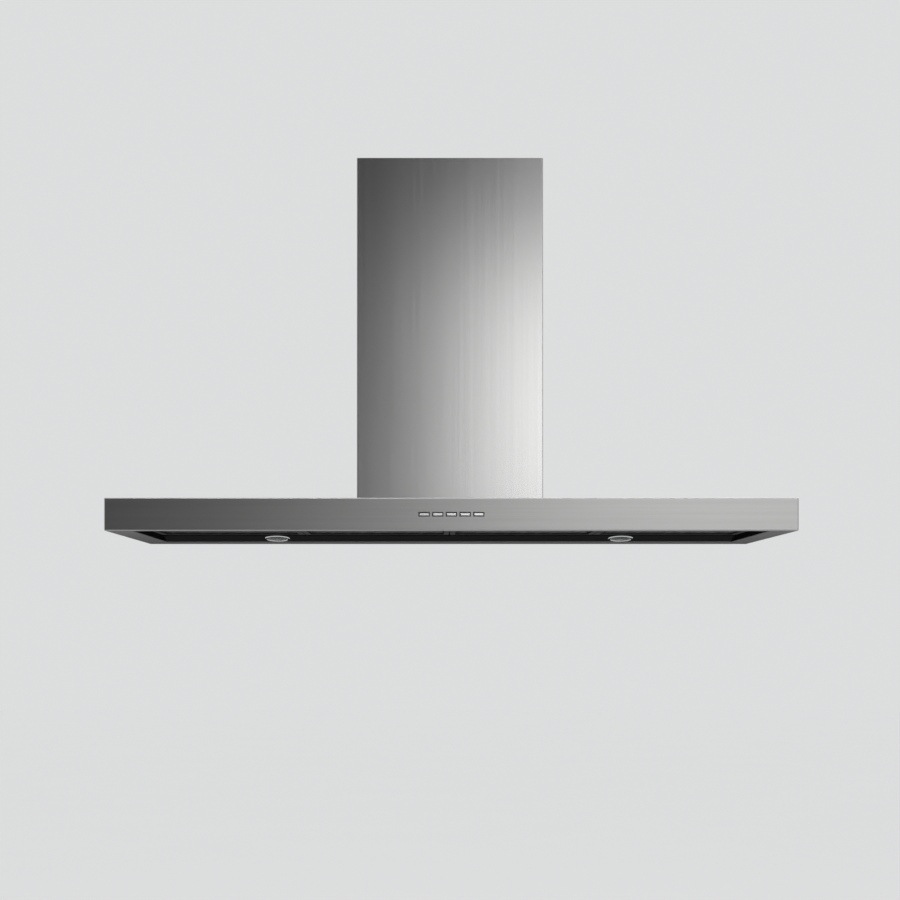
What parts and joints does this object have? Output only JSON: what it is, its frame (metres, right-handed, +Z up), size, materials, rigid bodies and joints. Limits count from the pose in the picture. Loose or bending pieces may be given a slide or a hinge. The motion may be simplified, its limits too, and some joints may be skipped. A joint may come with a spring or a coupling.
{
  "type": "wall mount range hood",
  "caption": "Flat box canopy range hood for a wall, with a square telescopic chimney, push buttons, hinged mesh filters, lamps and a blower.",
  "frame": {"origin": "on the wall plane, at the middle of the canopy's lower rear edge", "axes": "+X to the right seen from the front, +Y into the wall, +Z up"},
  "size_m": [1.2, 0.5, 0.702],
  "materials": {
    "brushed_steel": "brushed, fine vertical grain",
    "galvanised": "zinc coated sheet",
    "black_enamel": "satin black",
    "chrome": "polished",
    "frosted_lens": "frosted",
    "cast_aluminium": "as cast",
    "black_plastic": "moulded",
    "grey_plastic": "moulded",
    "circuit_board": "solder mask",
    "satin_button": "satin",
    "zinc_steel": "zinc plated",
    "spring_steel": "spring steel",
    "foam_gasket": "closed cell foam",
    "lead_sheath": "moulded sheath",
    "filter_frame": "dark anodised",
    "filter_mesh": "dark expanded mesh",
    "latch_plastic": "moulded"
  },
  "bodies": {
    "root": {"canopy_shell": "brushed_steel", "canopy_back_panel": "galvanised", "top_stiffeners": "galvanised", "filter_tray": "black_enamel", "lamp_panel": "black_enamel", "lamp_bezel_left": "chrome", "lamp_lens_left": "frosted_lens", "lamp_can_left": "cast_aluminium", "lamp_bezel_right": "chrome", "lamp_lens_right": "frosted_lens", "lamp_can_right": "cast_aluminium", "button_fascia": "black_plastic", "control_housing": "black_plastic", "control_board": "circuit_board", "filter_keepers": "spring_steel", "lower_flue_cover": "brushed_steel", "flue_bracket": "galvanised", "blower_box": "galvanised", "scroll_casing_left": "black_plastic", "scroll_casing_right": "black_plastic", "throat_gasket": "foam_gasket", "motor": "cast_aluminium", "motor_spider": "galvanised", "duct_collar": "grey_plastic", "damper_pin": "zinc_steel", "electronics_case": "black_plastic", "electronics_cover": "black_plastic", "cable_gland": "black_plastic", "power_board": "circuit_board", "capacitor": "cast_aluminium", "blower_screws": "zinc_steel", "control_lead": "lead_sheath", "motor_lead": "lead_sheath", "lamp_leads": "lead_sheath"},
    "fan": {"fan_wheel": "black_plastic", "motor_shaft": "zinc_steel"},
    "damper_left": {"damper_flap_left": "grey_plastic"},
    "damper_right": {"damper_flap_right": "grey_plastic"},
    "upper_flue": {"upper_flue_cover": "brushed_steel"},
    "button_1": {"button_1": "satin_button"},
    "button_2": {"button_2": "satin_button"},
    "button_3": {"button_3": "satin_button"},
    "button_4": {"button_4": "satin_button"},
    "button_5": {"button_5": "satin_button"},
    "filter_1": {"filter_1_frame": "filter_frame", "filter_1_mesh": "filter_mesh", "filter_1_spring": "spring_steel"},
    "latch_1": {"filter_1_latch": "latch_plastic"},
    "filter_2": {"filter_2_frame": "filter_frame", "filter_2_mesh": "filter_mesh", "filter_2_spring": "spring_steel"},
    "latch_2": {"filter_2_latch": "latch_plastic"},
    "filter_3": {"filter_3_frame": "filter_frame", "filter_3_mesh": "filter_mesh", "filter_3_spring": "spring_steel"},
    "latch_3": {"filter_3_latch": "latch_plastic"},
    "filter_4": {"filter_4_frame": "filter_frame", "filter_4_mesh": "filter_mesh", "filter_4_spring": "spring_steel"},
    "latch_4": {"filter_4_latch": "latch_plastic"}
  },
  "joints": [
    {"name": "button_1_press", "type": "slide", "parent": "root", "child": "button_1", "axis": [0, 1, 0], "range_m": [0, 0.0012], "stiffness_N_per_m": 300},
    {"name": "button_2_press", "type": "slide", "parent": "root", "child": "button_2", "axis": [0, 1, 0], "range_m": [0, 0.0012], "stiffness_N_per_m": 300},
    {"name": "button_3_press", "type": "slide", "parent": "root", "child": "button_3", "axis": [0, 1, 0], "range_m": [0, 0.0012], "stiffness_N_per_m": 300},
    {"name": "button_4_press", "type": "slide", "parent": "root", "child": "button_4", "axis": [0, 1, 0], "range_m": [0, 0.0012], "stiffness_N_per_m": 300},
    {"name": "button_5_press", "type": "slide", "parent": "root", "child": "button_5", "axis": [0, 1, 0], "range_m": [0, 0.0012], "stiffness_N_per_m": 300},
    {"name": "filter_1_swing", "type": "hinge", "parent": "root", "child": "filter_1", "pos_m": [-0.41475, -0.144, 0.014], "axis": [1, 0, 0], "range_deg": [0, 75], "deforming": ["filter_keepers"]},
    {"name": "latch_1_slide", "type": "slide", "parent": "filter_1", "child": "latch_1", "axis": [0, 1, 0], "range_m": [0, 0.006], "stiffness_N_per_m": 150, "deforming": ["filter_1_spring"]},
    {"name": "filter_2_swing", "type": "hinge", "parent": "root", "child": "filter_2", "pos_m": [-0.13825, -0.144, 0.014], "axis": [1, 0, 0], "range_deg": [0, 75], "deforming": ["filter_keepers"]},
    {"name": "latch_2_slide", "type": "slide", "parent": "filter_2", "child": "latch_2", "axis": [0, 1, 0], "range_m": [0, 0.006], "stiffness_N_per_m": 150, "deforming": ["filter_2_spring"]},
    {"name": "filter_3_swing", "type": "hinge", "parent": "root", "child": "filter_3", "pos_m": [0.13825, -0.144, 0.014], "axis": [1, 0, 0], "range_deg": [0, 75], "deforming": ["filter_keepers"]},
    {"name": "latch_3_slide", "type": "slide", "parent": "filter_3", "child": "latch_3", "axis": [0, 1, 0], "range_m": [0, 0.006], "stiffness_N_per_m": 150, "deforming": ["filter_3_spring"]},
    {"name": "filter_4_swing", "type": "hinge", "parent": "root", "child": "filter_4", "pos_m": [0.41475, -0.144, 0.014], "axis": [1, 0, 0], "range_deg": [0, 75], "deforming": ["filter_keepers"]},
    {"name": "latch_4_slide", "type": "slide", "parent": "filter_4", "child": "latch_4", "axis": [0, 1, 0], "range_m": [0, 0.006], "stiffness_N_per_m": 150, "deforming": ["filter_4_spring"]},
    {"name": "fan_spin", "type": "hinge", "parent": "root", "child": "fan", "pos_m": [0, -0.14, 0.163], "axis": [1, 0, 0], "continuous": true},
    {"name": "damper_left_open", "type": "hinge", "parent": "root", "child": "damper_left", "pos_m": [0, -0.14, 0.383], "axis": [0, 1, 0], "range_deg": [0, 75]},
    {"name": "damper_right_open", "type": "hinge", "parent": "root", "child": "damper_right", "pos_m": [0, -0.14, 0.383], "axis": [0, -1, 0], "range_deg": [0, 75]},
    {"name": "upper_flue_raise", "type": "slide", "parent": "root", "child": "upper_flue", "axis": [0, 0, 1], "range_m": [0, 0.3]}
  ]
}
